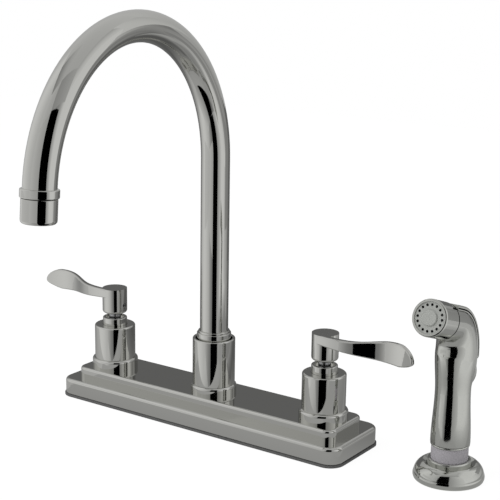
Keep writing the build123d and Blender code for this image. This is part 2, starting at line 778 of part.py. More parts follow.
def trigger_lever():
    outer_r = trigger_inner_r + trigger_t
    under = trigger_inner_r - head_offset
    inside = ThreePointArc(bend_point(trigger_inner_r, 0), bend_point(trigger_inner_r, elbow_turn / 2),
                           bend_point(trigger_inner_r, elbow_turn))
    outside = ThreePointArc(bend_point(outer_r, elbow_turn), bend_point(outer_r, elbow_turn / 2),
                            bend_point(outer_r, 0))
    nose = Polyline(inside @ 1, head_point(trigger_run, under), head_point(trigger_run, under + trigger_t),
                    outside @ 0)
    tail_z = elbow_z - trigger_tail
    tail = Polyline(outside @ 1, (elbow_y + outer_r, tail_z), (elbow_y + trigger_inner_r, tail_z), inside @ 0)
    outline = make_face([inside, *nose.edges(), outside, *tail.edges()])
    strip = extrude(Plane.YZ * outline, trigger_width / 2, both=True)
    strip = fillet(strip.faces().sort_by(Axis.Z)[0].edges().filter_by(Axis.Y), trigger_tail_r)
    crown = strip.faces().filter_by(GeomType.CYLINDER).sort_by(SortBy.AREA)[-1]
    strip = fillet(crown.edges().filter_by(lambda e: abs(e.center().X) > trigger_width / 4), trigger_edge_r)
    pivot_hole = cross_bar(head_point(pivot_run, pivot_offset), pin_r + running, trigger_width)
    return spray_frame(strip + trigger_lug(0) - pivot_hole)


def trigger_pin():
    return spray_frame(cross_bar(head_point(pivot_run, pivot_offset), pin_r, pin_length))


def valve_plunger():
    return spray_frame(plunger_frame(bar(plunger_r, -plunger_length, 0)))


nodes = {
    "base_cover": base_cover(),
    "base_gasket": base_gasket(),
    "waterway_body": waterway_body(),
    "spray_nipple": spray_nipple(),
    "spout_flange": foot_flange(spout_hub_r + spout_flange_margin, post_r + loose, spout_flange_top),
    "spout_hub": spout_hub(),
    "spout_bearing": spout_bearing(),
    "spout_tube": spout_tube(),
    "spout_collar": spout_collar(),
    "spout_stub": spout_stub(),
    "spout_o_ring_upper": spout_o_ring(ring_drops[0]),
    "spout_o_ring_lower": spout_o_ring(ring_drops[1]),
    "outlet_ferrule": outlet_ferrule(),
    "aerator_washer": aerator_washer(),
    "aerator_shell": aerator_shell(),
    "aerator_insert": aerator_insert(),
    "diverter_cage": diverter_cage(),
    "diverter_poppet": diverter_poppet(),
    "holder_bell": holder_bell(),
    "holder_shank": holder_shank(),
    "holder_washer": spray_frame(clamp_washer(holder_shank_r)),
    "holder_nut": spray_frame(flanged_nut(holder_shank_r)),
    "wand_body": wand_body(),
    "hose_coupling": hose_coupling(),
    "nozzle_seal": nozzle_seal(),
    "nozzle_cap": nozzle_cap(),
    "spray_face": spray_face(),
    "face_button": face_button(),
    "trigger_lever": trigger_lever(),
    "trigger_pin": trigger_pin(),
    "valve_plunger": valve_plunger(),
}

for side, sign, lever_turn in (("left", -1, left_lever_turn), ("right", 1, right_lever_turn)):
    lever = Rot(0, 0, lever_turn) * handle_lever()
    screw = Rot(0, 0, lever_turn) * set_screw()
    if sign < 0:
        lever = mirror(lever, Plane.YZ)
        screw = mirror(screw, Plane.YZ)
    stack = {
        "inlet_shank": inlet_shank(),
        "shank_washer": clamp_washer(shank_r),
        "lock_nut": flanged_nut(shank_r),
        "hub_flange": foot_flange(hub_r + flange_margin, boss_r + loose, flange_top),
        "valve_hub": valve_hub(),
        "valve_cap": valve_cap(),
        "cartridge_body": cartridge_body(),
        "seat_seal": seat_seal(),
        "stem_seal": stem_seal(),
        "fixed_disc": ceramic_disc(cavity_r, fixed_disc_z),
        "moving_disc": ceramic_disc(cavity_r - inner_gap, moving_disc_z),
        "valve_stem": valve_stem(),
        "handle_lever": lever,
        "set_screw": screw,
    }
    for name, piece in stack.items():
        nodes[f"{name}_{side}"] = Pos(sign * half_pitch, 0, 0) * piece

os.makedirs("parts", exist_ok=True)
for name, piece in nodes.items():
    export_step(piece, f"parts/{name}.step")
print(len(nodes), "nodes written")
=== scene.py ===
import json
from math import cos, pi, radians, sin, sqrt

import bpy
from mathutils import Matrix, Vector


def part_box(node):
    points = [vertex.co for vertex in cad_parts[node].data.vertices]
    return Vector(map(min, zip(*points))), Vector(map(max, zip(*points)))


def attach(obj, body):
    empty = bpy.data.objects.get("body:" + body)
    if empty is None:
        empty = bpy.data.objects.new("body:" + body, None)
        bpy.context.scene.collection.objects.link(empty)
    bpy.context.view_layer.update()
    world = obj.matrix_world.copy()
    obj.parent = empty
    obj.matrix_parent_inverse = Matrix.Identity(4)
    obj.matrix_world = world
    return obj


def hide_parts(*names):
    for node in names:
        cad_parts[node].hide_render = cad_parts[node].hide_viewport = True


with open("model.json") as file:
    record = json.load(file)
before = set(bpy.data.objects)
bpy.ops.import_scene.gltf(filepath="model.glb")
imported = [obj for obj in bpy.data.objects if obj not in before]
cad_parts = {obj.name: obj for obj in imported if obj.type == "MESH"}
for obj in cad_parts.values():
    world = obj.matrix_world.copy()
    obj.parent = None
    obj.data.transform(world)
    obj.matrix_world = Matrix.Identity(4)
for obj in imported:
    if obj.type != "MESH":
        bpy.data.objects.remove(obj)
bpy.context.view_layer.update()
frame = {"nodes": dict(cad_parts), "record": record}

scene = bpy.context.scene
scene.view_settings.view_transform = "Standard"
mm = 0.001  # drawings are in millimetres, the scene in metres
hands = ("left", "right")


# colours are written as sRGB hex and go to the shaders as linear
def hexToLinear(code):
    parts = [int(code[i:i + 2], 16) / 255 for i in (1, 3, 5)]
    linear = [c / 12.92 if c <= 0.04045 else ((c + 0.055) / 1.055) ** 2.4 for c in parts]
    return (*linear, 1.0)


# one node, its settings by socket or property name, and links by socket name
def addNode(tree, kind, settings=None, links=None):
    node = tree.nodes.new(kind)
    for key, value in (settings or {}).items():
        if isinstance(key, int) or key in node.inputs:
            node.inputs[key].default_value = value
        else:
            setattr(node, key, value)
    for key, source in (links or {}).items():
        tree.links.new(source, node.inputs[key])
    return node


def newMaterial(name):
    material = bpy.data.materials.new(name)
    material.use_nodes = True
    material.node_tree.nodes.clear()
    return material, material.node_tree


# detail of the noises, the range of the smear that counts, and the lathe rings with their width at scale 1
noiseSet = {"blotchDetail": 3.0, "smearDetail": 4.0, "grainDetail": 2.0, "smearRange": (0.3, 0.7),
            "ringWidth": 0.314, "ringBend": 0.6, "ringDetail": 2.0}


# noise with features of a real size
def addNoise(tree, place, sizeMm, detail):
    settings = {"Scale": 1 / (sizeMm * mm), "Detail": detail}
    return addNode(tree, "ShaderNodeTexNoise", settings, {"Vector": place}).outputs["Fac"]


# a finish: uniform values on the shader, roughness and relief from noise of real sizes in mm
def makeFinish(name, finish):
    material, tree = newMaterial(name)
    place = addNode(tree, "ShaderNodeTexCoord").outputs["Object"]
    colour = hexToLinear(finish["colour"])
    links = {}
    if "colour2" in finish:
        blotch = addNoise(tree, place, finish["blotchMm"], noiseSet["blotchDetail"])
        colours = {"data_type": "RGBA", 6: colour, 7: hexToLinear(finish["colour2"])}  # its colour sockets
        links["Base Color"] = addNode(tree, "ShaderNodeMix", colours, {0: blotch}).outputs[2]
    smear = addNoise(tree, place, finish["smearMm"], noiseSet["smearDetail"])
    smearLow, smearHigh = noiseSet["smearRange"]
    smooth, rough = finish["rough"]
    spread = {"From Min": smearLow, "From Max": smearHigh, "To Min": smooth, "To Max": rough}
    links["Roughness"] = addNode(tree, "ShaderNodeMapRange", spread, {"Value": smear}).outputs["Result"]
    if "turnedMm" in finish:  # rings left by the lathe, square to the piece's axis
        rings = {"bands_direction": "Z", "Scale": noiseSet["ringWidth"] / (finish["turnedMm"] * mm),
                 "Distortion": noiseSet["ringBend"], "Detail": noiseSet["ringDetail"]}
        height = addNode(tree, "ShaderNodeTexWave", rings, {"Vector": place}).outputs["Fac"]
    else:
        height = addNoise(tree, place, finish["grainMm"], noiseSet["grainDetail"])
    relief = addNode(tree, "ShaderNodeBump", {"Strength": 1.0, "Distance": finish["reliefMm"] * mm},
                     {"Height": height})
    links["Normal"] = relief.outputs["Normal"]
    uniform = {"Base Color": colour, "Metallic": finish["metallic"]}
    shader = addNode(tree, "ShaderNodeBsdfPrincipled", uniform, links)
    addNode(tree, "ShaderNodeOutputMaterial", None, {"Surface": shader.outputs["BSDF"]})
    return material


finishes = {
    # chromium over buffed brass: a bright mirror, faintly warm, with the slow waves of hand buffing
    "chrome": makeFinish("chromePlatedBrass", {
        "colour": "#cbcbc7", "metallic": 1.0, "smearMm": 9, "rough": (0.025, 0.055), "grainMm": 16,
        "reliefMm": 0.012}),
    # chromium over moulded ABS: the same mirror, a little softer, with the sink marks of the moulding
    "plated_abs": makeFinish("chromePlatedAbs", {
        "colour": "#c8c9c4", "metallic": 1.0, "smearMm": 7, "rough": (0.06, 0.1), "grainMm": 13,
        "reliefMm": 0.03}),
    # turned brass left bare below the deck: warm satin, its lathe rings coarser than the real 0.2 mm feed
    "brass": makeFinish("turnedBrass", {
        "colour": "#b9924e", "colour2": "#9c7a40", "blotchMm": 8, "metallic": 1.0, "smearMm": 3,
        "rough": (0.24, 0.4), "turnedMm": 0.6, "reliefMm": 0.008}),
    # stamped stainless steel: cool satin
    "steel": makeFinish("stampedStainlessSteel", {
        "colour": "#b4b5b6", "metallic": 1.0, "smearMm": 2, "rough": (0.22, 0.36), "grainMm": 0.7,
        "reliefMm": 0.006}),
    # moulded EPDM gasket: dull dark grey, paled by dust in its grain
    "gasket_rubber": makeFinish("mouldedEpdmRubber", {
        "colour": "#626261", "colour2": "#565657", "blotchMm": 5, "metallic": 0.0, "smearMm": 2,
        "rough": (0.55, 0.75), "grainMm": 0.5, "reliefMm": 0.03}),
    # moulded nitrile rings: black, slightly greasy
    "seal_rubber": makeFinish("mouldedNitrileRubber", {
        "colour": "#161617", "metallic": 0.0, "smearMm": 2, "rough": (0.4, 0.6), "grainMm": 0.5,
        "reliefMm": 0.01}),
    # spark-eroded mould on grey ABS: a fine even matte that scatters the light
    "grey_plastic": makeFinish("mouldedMatteAbs", {
        "colour": "#a9a6ab", "colour2": "#a19ea3", "blotchMm": 4, "metallic": 0.0, "smearMm": 2,
        "rough": (0.45, 0.6), "grainMm": 0.45, "reliefMm": 0.008}),
    # satin moulded nylon of the spray face: pale grey with a soft sheen
    "face_plastic": makeFinish("mouldedSatinNylon", {
        "colour": "#a8aaa6", "colour2": "#9fa19d", "blotchMm": 3, "metallic": 0.0, "smearMm": 1.5,
        "rough": (0.3, 0.42), "grainMm": 0.5, "reliefMm": 0.005}),
    # machined acetal: waxy white
    "acetal": makeFinish("machinedAcetal", {
        "colour": "#e2e0d8", "colour2": "#d9d7cf", "blotchMm": 4, "metallic": 0.0, "smearMm": 2,
        "rough": (0.35, 0.5), "grainMm": 0.6, "reliefMm": 0.006}),
    # lapped alumina discs: cream white with a dull polish
    "ceramic": makeFinish("lappedAlumina", {
        "colour": "#ece6d8", "colour2": "#e4ddcd", "blotchMm": 3, "metallic": 0.0, "smearMm": 2,
        "rough": (0.12, 0.2), "grainMm": 0.5, "reliefMm": 0.002}),
}
slotOf = {part["node"]: part["material_slot"] for part in frame["record"]["subparts"]}
for nodeName, node in frame["nodes"].items():
    for slot in node.material_slots:
        slot.link = "OBJECT"
        slot.material = finishes[slotOf[nodeName]]
print("finishes set on", len(frame["nodes"]), "nodes")


# a mesh in the making: rings of points round an upright axis, joined into a skin. Lengths in mm
def newSkin(sides):
    return {"points": [], "faces": [], "sides": sides}


# a level ring; its radius is one number, or a list with one for each side
def addRing(skin, radius, height):
    first = len(skin["points"])
    for k in range(skin["sides"]):
        turn = 2 * pi * k / skin["sides"]
        reach = radius[k] if isinstance(radius, list) else radius
        skin["points"].append(Vector((reach * cos(turn), reach * sin(turn), height)))
    return list(range(first, len(skin["points"])))


def joinRings(skin, lower, upper):
    for k in range(skin["sides"]):
        after = (k + 1) % skin["sides"]
        skin["faces"].append((lower[k], lower[after], upper[after], upper[k]))


# rings from (radius, height) pairs, each joined to the one before
def addProfile(skin, pairs):
    rings = [addRing(skin, *pair) for pair in pairs]
    for lower, upper in zip(rings, rings[1:]):
        joinRings(skin, lower, upper)
    return rings


# reach of a hexagon from its middle, for each side of a ring
def hexagonReach(flat, sides):
    return [flat / cos(radians(360 * k / sides % 60 - 30)) for k in range(sides)]


# one turn of a V thread in rows: share of the pitch and share of the depth
threadForm = [(0.0, 0.0), (0.14, 0.0), (0.5, 1.0), (0.64, 1.0)]
threadRunOut = 0.6  # turns over which the thread dies away at its ends


# a thread between two heights as helical rows, with a bevelled level ring at each end
def addThread(skin, settings, bottom, top):
    crest = settings["crest"]
    depth = settings["depth"]
    pitch = settings["pitch"]
    sides = skin["sides"]
    last = sides - 1
    perTurn = len(threadForm)
    lower = addRing(skin, crest - depth, bottom)
    foot = bottom + depth
    turns = int((top - depth - foot) / pitch) - 1
    rows = []
    for row in range(perTurn * turns + 1):
        turn, step = divmod(row, perTurn)
        share, sunk = threadForm[step]
        rows.append(range(len(skin["points"]), len(skin["points"]) + sides))
        for k in range(sides):
            wound = turn + share + k / sides
            fade = min(1, wound / threadRunOut, (turns + 1 - wound) / threadRunOut)
            reach = crest - sunk * depth * fade
            angle = 2 * pi * k / sides
            skin["points"].append(Vector((reach * cos(angle), reach * sin(angle), foot + pitch * wound)))
    upper = addRing(skin, crest - depth, top)
    start = rows[0]
    end = rows[-1]
    for row, above in zip(rows, rows[1:]):
        for k in range(last):
            skin["faces"].append((row[k], row[k + 1], above[k + 1], above[k]))
    for k in range(last):
        skin["faces"].append((lower[k], lower[k + 1], start[k + 1], start[k]))
        skin["faces"].append((end[k], end[k + 1], upper[k + 1], upper[k]))
    turnAbove = rows[perTurn:]
    for k in range(len(turnAbove) - 1):  # each turn's end meets the next turn's start
        skin["faces"].append((rows[k][last], turnAbove[k][0], turnAbove[k + 1][0], rows[k + 1][last]))
    firstTurn = [row[0] for row in rows[:perTurn + 1]]
    lastTurn = [row[last] for row in rows[:-perTurn - 1:-1]]
    skin["faces"].append((lower[last], lower[0], *firstTurn, start[last]))
    skin["faces"].append((rows[-perTurn - 1][last], end[0], upper[0], upper[last], *lastTurn))
    return lower, upper


sharpAngle = 32  # edges that turn by more degrees than this stay crisp


# the skin becomes a piece that rides on a body and stands for CAD nodes where they are named
def addPiece(name, skin, finish, body, place=Matrix(), stands=()):
    mesh = bpy.data.meshes.new(name)
    mesh.from_pydata([place @ (point * mm) for point in skin["points"]], [], skin["faces"])
    mesh.materials.append(finishes[finish])
    mesh.shade_smooth()
    mesh.set_sharp_from_angle(angle=radians(sharpAngle))
    piece = bpy.data.objects.new(name, mesh)
    scene.collection.objects.link(piece)
    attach(piece, body)
    if stands:
        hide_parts(*stands)


# middle of a CAD node, in metres
def middleOf(nodeName):
    low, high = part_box(nodeName)
    return (low + high) / 2


# lowest and highest point of a CAD node, in mm
def heightsOf(nodeName):
    low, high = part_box(nodeName)
    return low.z / mm, high.z / mm


# upright place of a CAD node's axis
def axisOf(nodeName):
    middle = middleOf(nodeName)
    return Matrix.Translation((middle.x, middle.y, 0))


# half inch supply shanks: clamp thread above, hose thread below, a relief groove between
shankSet = {"crest": 10.45, "bore": 6.4, "pitch": 1.81, "depth": 0.75, "groove": (-40, -38),
            "threadTop": -1.5, "sides": 64}


def addShank(name, settings):
    foot, top = heightsOf(name)
    crest = settings["crest"]
    bore = settings["bore"]
    threadTop = settings["threadTop"]
    grooveFoot, grooveTop = settings["groove"]
    skin = newSkin(settings["sides"])
    hoseLow, hoseHigh = addThread(skin, settings, foot, grooveFoot)
    deckLow, deckHigh = addThread(skin, settings, grooveTop, threadTop)
    joinRings(skin, hoseHigh, deckLow)
    rings = addProfile(skin, [(crest, threadTop + settings["depth"]), (crest, top), (bore, top),
                              (bore, foot)])
    joinRings(skin, deckHigh, rings[0])
    joinRings(skin, rings[-1], hoseLow)
    addPiece(name + "_threaded", skin, "brass", "base", axisOf(name), [name])


for hand in hands:
    addShank("inlet_shank_" + hand, shankSet)

# quarter inch nipple for the spray hose
nippleSet = {"crest": 6.6, "bore": 3.6, "flange": 8.1, "flangeFoot": 0, "pitch": 1.34, "depth": 0.6,
             "threadTop": -2.5, "sides": 48, "finish": "brass"}
# moulded shank of the spray holder, with its coarse thread and the flange that carries the bell
holderSet = {"crest": 14.0, "bore": 11.5, "flange": 19.0, "flangeFoot": 0.6, "pitch": 2.4, "depth": 0.9,
             "threadTop": -1.5, "sides": 72, "finish": "grey_plastic"}


# a threaded tube that ends in a flange
def addFlangedTube(name, settings):
    foot, top = heightsOf(name)
    crest = settings["crest"]
    bore = settings["bore"]
    flange = settings["flange"]
    flangeFoot = settings["flangeFoot"]
    threadTop = settings["threadTop"]
    skin = newSkin(settings["sides"])
    low, high = addThread(skin, settings, foot, threadTop)
    rings = addProfile(skin, [(crest, threadTop + settings["depth"]), (crest, flangeFoot),
                              (flange, flangeFoot), (flange, top), (bore, top), (bore, foot)])
    joinRings(skin, high, rings[0])
    joinRings(skin, rings[-1], low)
    addPiece(name + "_threaded", skin, settings["finish"], "base", axisOf(name), [name])


addFlangedTube("spray_nipple", nippleSet)
addFlangedTube("holder_shank", holderSet)

# flanged lock nuts: the hexagon's lower corners are cut back to a cone, as on a turned bar
nutSets = [{"node": "lock_nut_left", "bore": 10.51, "finish": "brass"},
           {"node": "lock_nut_right", "bore": 10.51, "finish": "brass"},
           {"node": "holder_nut", "bore": 14.06, "finish": "grey_plastic"}]
nutForm = {"wall": 6.0, "flange": 2.5, "flangeHeight": 3.0, "coneInset": 0.4, "coneSlope": 1.73, "bevel": 0.5,
           "coneSteps": 8, "sides": 96}


def addNut(settings):
    foot, top = heightsOf(settings["node"])
    bore = settings["bore"]
    flats = bore + nutForm["wall"]
    hexagon = hexagonReach(flats, nutForm["sides"])
    coneHeight = (flats * 2 / sqrt(3) - flats + nutForm["coneInset"]) / nutForm["coneSlope"]
    bevel = nutForm["bevel"]
    pairs = [(bore, foot + bevel), (bore + bevel, foot)]
    for step in range(nutForm["coneSteps"] + 1):
        rise = coneHeight * step / nutForm["coneSteps"]
        cone = flats - nutForm["coneInset"] + rise * nutForm["coneSlope"]
        pairs.append(([min(reach, cone) for reach in hexagon], foot + rise))
    brim = flats + nutForm["flange"]
    brimFoot = top - nutForm["flangeHeight"]
    pairs += [(hexagon, brimFoot), (brim - bevel, brimFoot), (brim, brimFoot + bevel), (brim, top - bevel),
              (brim - bevel, top), (bore + bevel, top), (bore, top - bevel)]
    skin = newSkin(nutForm["sides"])
    rings = addProfile(skin, pairs)
    joinRings(skin, rings[-1], rings[0])
    addPiece(settings["node"] + "_hexagon", skin, settings["finish"], "base", axisOf(settings["node"]),
             [settings["node"]])


for nutSet in nutSets:
    addNut(nutSet)

# grub screws with a hexagon socket, looking out of the hubs
screwSet = {"radius": 2.2, "bevel": 0.45, "socket": 1.0, "socketDepth": 2.2, "length": 4.2, "sides": 36}


def addSetScrew(hand, settings):
    name = "set_screw_" + hand
    outward = middleOf(name) - middleOf("valve_stem_" + hand)
    outward.z = 0
    radius = settings["radius"]
    bevel = settings["bevel"]
    half = settings["length"] / 2
    socket = hexagonReach(settings["socket"], settings["sides"])
    skin = newSkin(settings["sides"])
    rings = addProfile(skin, [(radius - bevel, -half), (radius, bevel - half), (radius, half - bevel),
                              (radius - bevel, half), (socket, half),
                              (socket, half - settings["socketDepth"])])
    skin["faces"] += [rings[0][::-1], rings[-1]]
    turn = outward.to_track_quat("Z", "Y").to_matrix().to_4x4()
    place = Matrix.Translation(middleOf(name)) @ turn
    addPiece(name + "_socket", skin, "steel", "handle_" + hand, place, [name])


for hand in hands:
    addSetScrew(hand, screwSet)

# soft tips in the spray holes: a short black rubber tube with a rounded lip, which shows as a black dot. Its
# black is partly the rubber's own colour and partly painted shade that stands in for the dark inside of each
# hole
tipSet = {"holes": 16, "circle": 9.0, "radius": 0.93, "mouth": 0.55, "lip": 0.25, "depth": 2.3,
          "mouthDepth": 1.2, "belowButton": 0.55, "tilt": 18.5, "sides": 20}


def addSprayTips(settings):
    radius = settings["radius"]
    mouth = settings["mouth"]
    lip = settings["lip"]
    circle = settings["circle"]
    skin = newSkin(settings["sides"])
    for hole in range(settings["holes"]):
        first = len(skin["points"])
        rings = addProfile(skin, [(radius, -settings["depth"]), (radius, lip / 2),
                                  ((radius + mouth) / 2, lip), (mouth, lip / 2),
                                  (mouth, -settings["mouthDepth"])])
        skin["faces"] += [rings[0][::-1], rings[-1]]
        turn = 2 * pi * hole / settings["holes"]
        spot = Vector((circle * cos(turn), circle * sin(turn), -settings["belowButton"]))
        for k in range(first, len(skin["points"])):
            skin["points"][k] += spot
    tilt = Matrix.Rotation(radians(90 - settings["tilt"]), 4, "X")
    # black rubber cups in the holes: painted shade that makes each hole read as a black dot
    addPiece("spray_tips_painted_shade", skin, "seal_rubber", "wand", Matrix.Translation(middleOf("face_button")) @ tilt)


addSprayTips(tipSet)

# woven wire screen over the aerator's insert: two layers of wires, clipped to its round bore.
# Each layer lies off the middle by a share of the wire's radius
screenSet = {"radius": 8.6, "wire": 0.16, "layer": 0.8, "pitch": 1.15, "below": 2.35, "sides": 8}


def addScreen(settings):
    wire = settings["wire"]
    skin = newSkin(settings["sides"])
    count = int(settings["radius"] / settings["pitch"])
    for across, way in ((0, -1), (pi / 2, 1)):
        layer = wire * settings["layer"] * way
        for k in range(-count, count + 1):
            offset = k * settings["pitch"]
            half = sqrt(settings["radius"] ** 2 - offset ** 2)
            first = len(skin["points"])
            rings = addProfile(skin, [(wire, -half), (wire, half)])
            skin["faces"] += [rings[0][::-1], rings[1]]
            shift = Matrix.Translation((0, offset, layer))
            lay = Matrix.Rotation(across, 4, "Z") @ shift @ Matrix.Rotation(pi / 2, 4, "Y")
            for point in range(first, len(skin["points"])):
                skin["points"][point] = lay @ skin["points"][point]
    middle = middleOf("aerator_insert")
    inward = middleOf("outlet_ferrule") - middle
    turn = inward.to_track_quat("Z", "Y").to_matrix().to_4x4()
    drop = Matrix.Translation(Vector((0, 0, -settings["below"])) * mm)
    addPiece("aerator_screen", skin, "steel", "spout", Matrix.Translation(middle) @ turn @ drop)


addScreen(screenSet)

# the wand's frame: its axis, the centre of its bend from that axis, and how its oval section grows
wandSet = {"axis": (203.2, 6.0), "bendY": -21.0, "bendZ": 91.0, "bendTurn": 71.5, "rise": 26.0, "waist": 12.5,
           "shoulder": 14.0, "shoulderBack": 16.0, "headReach": 27.9, "head": 12.95}


def eased(share):
    return share * share * (3 - 2 * share)


# a point beside the wand's middle plane, by its reach from the bend's centre, at an angle or a drop below it
def wandPoint(aside, reach, angle, drop=0):
    x, y = wandSet["axis"]
    turn = radians(angle)
    back = y + wandSet["bendY"] + reach * cos(turn)
    return Vector((x + aside, back, wandSet["bendZ"] - drop + reach * sin(turn)))


# the oval there: reach of its middle, half depth and half width
def wandOval(angle, drop):
    grown = eased(1 - drop / wandSet["rise"])
    wide = wandSet["waist"] + grown * (wandSet["shoulder"] - wandSet["waist"])
    back = wandSet["waist"] + grown * (wandSet["shoulderBack"] - wandSet["waist"])
    bent = eased(angle / wandSet["bendTurn"])
    near = -wandSet["bendY"] - wide
    far = -wandSet["bendY"] + back
    near += bent * (wandSet["headReach"] - wandSet["head"] - near)
    far += bent * (wandSet["headReach"] + wandSet["head"] - far)
    return (near + far) / 2, (far - near) / 2, wide + bent * (wandSet["head"] - wide)


# fuller cheeks of the wand's back on either side of the trigger, which close to a spine below it.
# Each row: angle, drop below the bend, squareness of the oval (2 is the plain oval), open for the trigger
cheekSet = {"rows": [(0, 23, 1.9, False), (0, 20, 2.15, False), (0, 17, 2.5, False), (0, 14, 2.8, False),
                     (0, 11.5, 3.0, False), (0, 9.6, 2.9, False), (0, 9.4, 2.9, True), (0, 6, 2.75, True),
                     (0, 0, 2.65, True), (12, 0, 2.6, True), (24, 0, 2.55, True), (36, 0, 2.4, True),
                     (48, 0, 2.2, True), (60, 0, 1.9, True)],
            "slot": 10.25, "backShare": 0.99, "sideSteps": 12, "backSteps": 8}


def addCheeks(settings):
    sideSteps = settings["sideSteps"]
    backSteps = settings["backSteps"]
    slot = settings["slot"]
    skin = newSkin(2 * (sideSteps + 1) + backSteps + 1)
    rings = []
    for angle, drop, square, openBack in settings["rows"]:
        middle, depth, wide = wandOval(angle, drop)
        edge = (slot / wide) ** (square / 2)
        side = []
        for k in range(sideSteps + 1):
            share = 1 - (1 - edge) * (k / sideSteps) ** 2  # closer together where the oval turns
            aside = wide * share ** (2 / square)
            side.append((aside, middle + depth * max(0, 1 - share ** 2) ** (1 / square)))
        inner = []
        for k in range(backSteps + 1):
            aside = slot * settings["backShare"] * (1 - 2 * k / backSteps)
            full = middle + depth * (1 - (abs(aside) / wide) ** square) ** (1 / square)
            inner.append((aside, middle if openBack else full))
        outline = side + inner + [(-aside, reach) for aside, reach in side[::-1]]
        rings.append(range(len(skin["points"]), len(skin["points"]) + len(outline)))
        skin["points"] += [wandPoint(aside, reach, angle, drop) for aside, reach in outline]
    for lower, upper in zip(rings, rings[1:]):
        joinRings(skin, lower, upper)
    skin["faces"] += [tuple(rings[0])[::-1], tuple(rings[-1])]
    addPiece("wand_cheeks", skin, "plated_abs", "wand")


addCheeks(cheekSet)

# turned-in edges that stiffen the moulded trigger: aside, then reach from the bend's centre
skirtSet = {"section": [(8.9, 37.0), (9.1, 36.8), (9.5, 36.8), (9.7, 37.0), (9.7, 38.6), (8.9, 38.6)],
            "tail": 4.2, "nose": 10.0, "bendSteps": 16}


def addSkirts(settings):
    section = settings["section"]
    steps = settings["bendSteps"]
    bend = wandSet["bendTurn"]
    # angle, drop below the bend, and straight run past it
    stations = [(0, settings["tail"], 0)]
    stations += [(bend * k / steps, 0, 0) for k in range(steps + 1)]
    stations.append((bend, 0, settings["nose"]))
    skin = newSkin(len(section))
    for way in (1, -1):
        rings = []
        for angle, drop, run in stations:
            turn = radians(angle)
            onward = Vector((0, -sin(turn), cos(turn))) * run
            rings.append(range(len(skin["points"]), len(skin["points"]) + len(section)))
            for aside, reach in section:
                skin["points"].append(wandPoint(way * aside, reach, angle, drop) + onward)
        for lower, upper in zip(rings, rings[1:]):
            joinRings(skin, *((lower, upper) if way > 0 else (upper, lower)))
        ends = [tuple(rings[0])[::-1], tuple(rings[-1])]
        skin["faces"] += ends if way > 0 else [end[::-1] for end in ends]
    addPiece("trigger_skirts", skin, "plated_abs", "trigger")


addSkirts(skirtSet)

# the wand's rolled lower lip: a bright bead under a fine groove, round the top of the sleeve
lipSet = {"proud": 0.75, "groove": 0.5, "height": 1.6, "seat": 0.3, "steps": 8, "sides": 72}


def addLip(settings):
    low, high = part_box("hose_coupling")
    sleeve = (high.x - low.x) / 2 / mm
    inner = sleeve - settings["seat"]
    top = heightsOf("wand_body")[0] - settings["groove"]
    half = settings["height"] / 2
    pairs = [(inner, top - settings["height"])]
    for step in range(settings["steps"] + 1):
        turn = pi * step / settings["steps"] - pi / 2
        pairs.append((sleeve + settings["proud"] * cos(turn), top - half + half * sin(turn)))
    pairs.append((inner, top))
    skin = newSkin(settings["sides"])
    rings = addProfile(skin, pairs)
    joinRings(skin, rings[-1], rings[0])
    addPiece("wand_lip", skin, "plated_abs", "wand", axisOf("hose_coupling"))


addLip(lipSet)
print("detail pieces made")

# camera at the photograph's place: angles in degrees, lengths in mm
cameraSet = {"yaw": 34.797, "pitch": 13.563, "roll": 0.867, "lens": 93.47, "sensor": 36.0,
             "place": (575.80, -781.09, 370.66)}


def addCamera(settings):
    yaw, pitch, roll = (radians(settings[key]) for key in ("yaw", "pitch", "roll"))
    right = Vector((cos(yaw), sin(yaw), 0))
    forward = Vector((-sin(yaw) * cos(pitch), cos(yaw) * cos(pitch), -sin(pitch)))
    up = right.cross(forward)
    across = cos(roll) * right + sin(roll) * up
    upright = -sin(roll) * right + cos(roll) * up
    lens = bpy.data.cameras.new("camera")
    lens.lens = settings["lens"]
    lens.sensor_width = settings["sensor"]
    camera = bpy.data.objects.new("camera", lens)
    turn = Matrix((across, upright, -forward)).transposed().to_4x4()
    camera.matrix_world = Matrix.Translation(Vector(settings["place"]) * mm) @ turn
    scene.collection.objects.link(camera)
    scene.camera = camera


addCamera(cameraSet)


# true for the rays that see the white background: from the eye, or by way of metal or glass
def seenRays(tree):
    path = addNode(tree, "ShaderNodeLightPath")
    first = addNode(tree, "ShaderNodeMath", {"operation": "MAXIMUM"},
                    {0: path.outputs["Is Camera Ray"], 1: path.outputs["Is Glossy Ray"]})
    both = addNode(tree, "ShaderNodeMath", {"operation": "MAXIMUM"},
                   {0: first.outputs[0], 1: path.outputs["Is Transmission Ray"]})
    return both.outputs[0]


# studio: white to the eye with a softer ambient light. Bench lengths in mm
roomSet = {"white": "#ffffff", "ambient": 0.62, "bench": "#f2f2f0", "benchWhite": 0.9, "benchGlow": 1.05,
           "benchFront": -100, "benchTop": -0.1, "reach": 1600}


def addWorld(settings):
    world = bpy.data.worlds.new("studio")
    world.use_nodes = True
    tree = world.node_tree
    tree.nodes.clear()
    colour = hexToLinear(settings["white"])
    white = addNode(tree, "ShaderNodeBackground", {"Color": colour, "Strength": 1.0})
    soft = addNode(tree, "ShaderNodeBackground", {"Color": colour, "Strength": settings["ambient"]})
    mix = addNode(tree, "ShaderNodeMixShader", None,
                  {0: seenRays(tree), 1: soft.outputs[0], 2: white.outputs[0]})
    addNode(tree, "ShaderNodeOutputWorld", None, {"Surface": mix.outputs[0]})
    scene.world = world


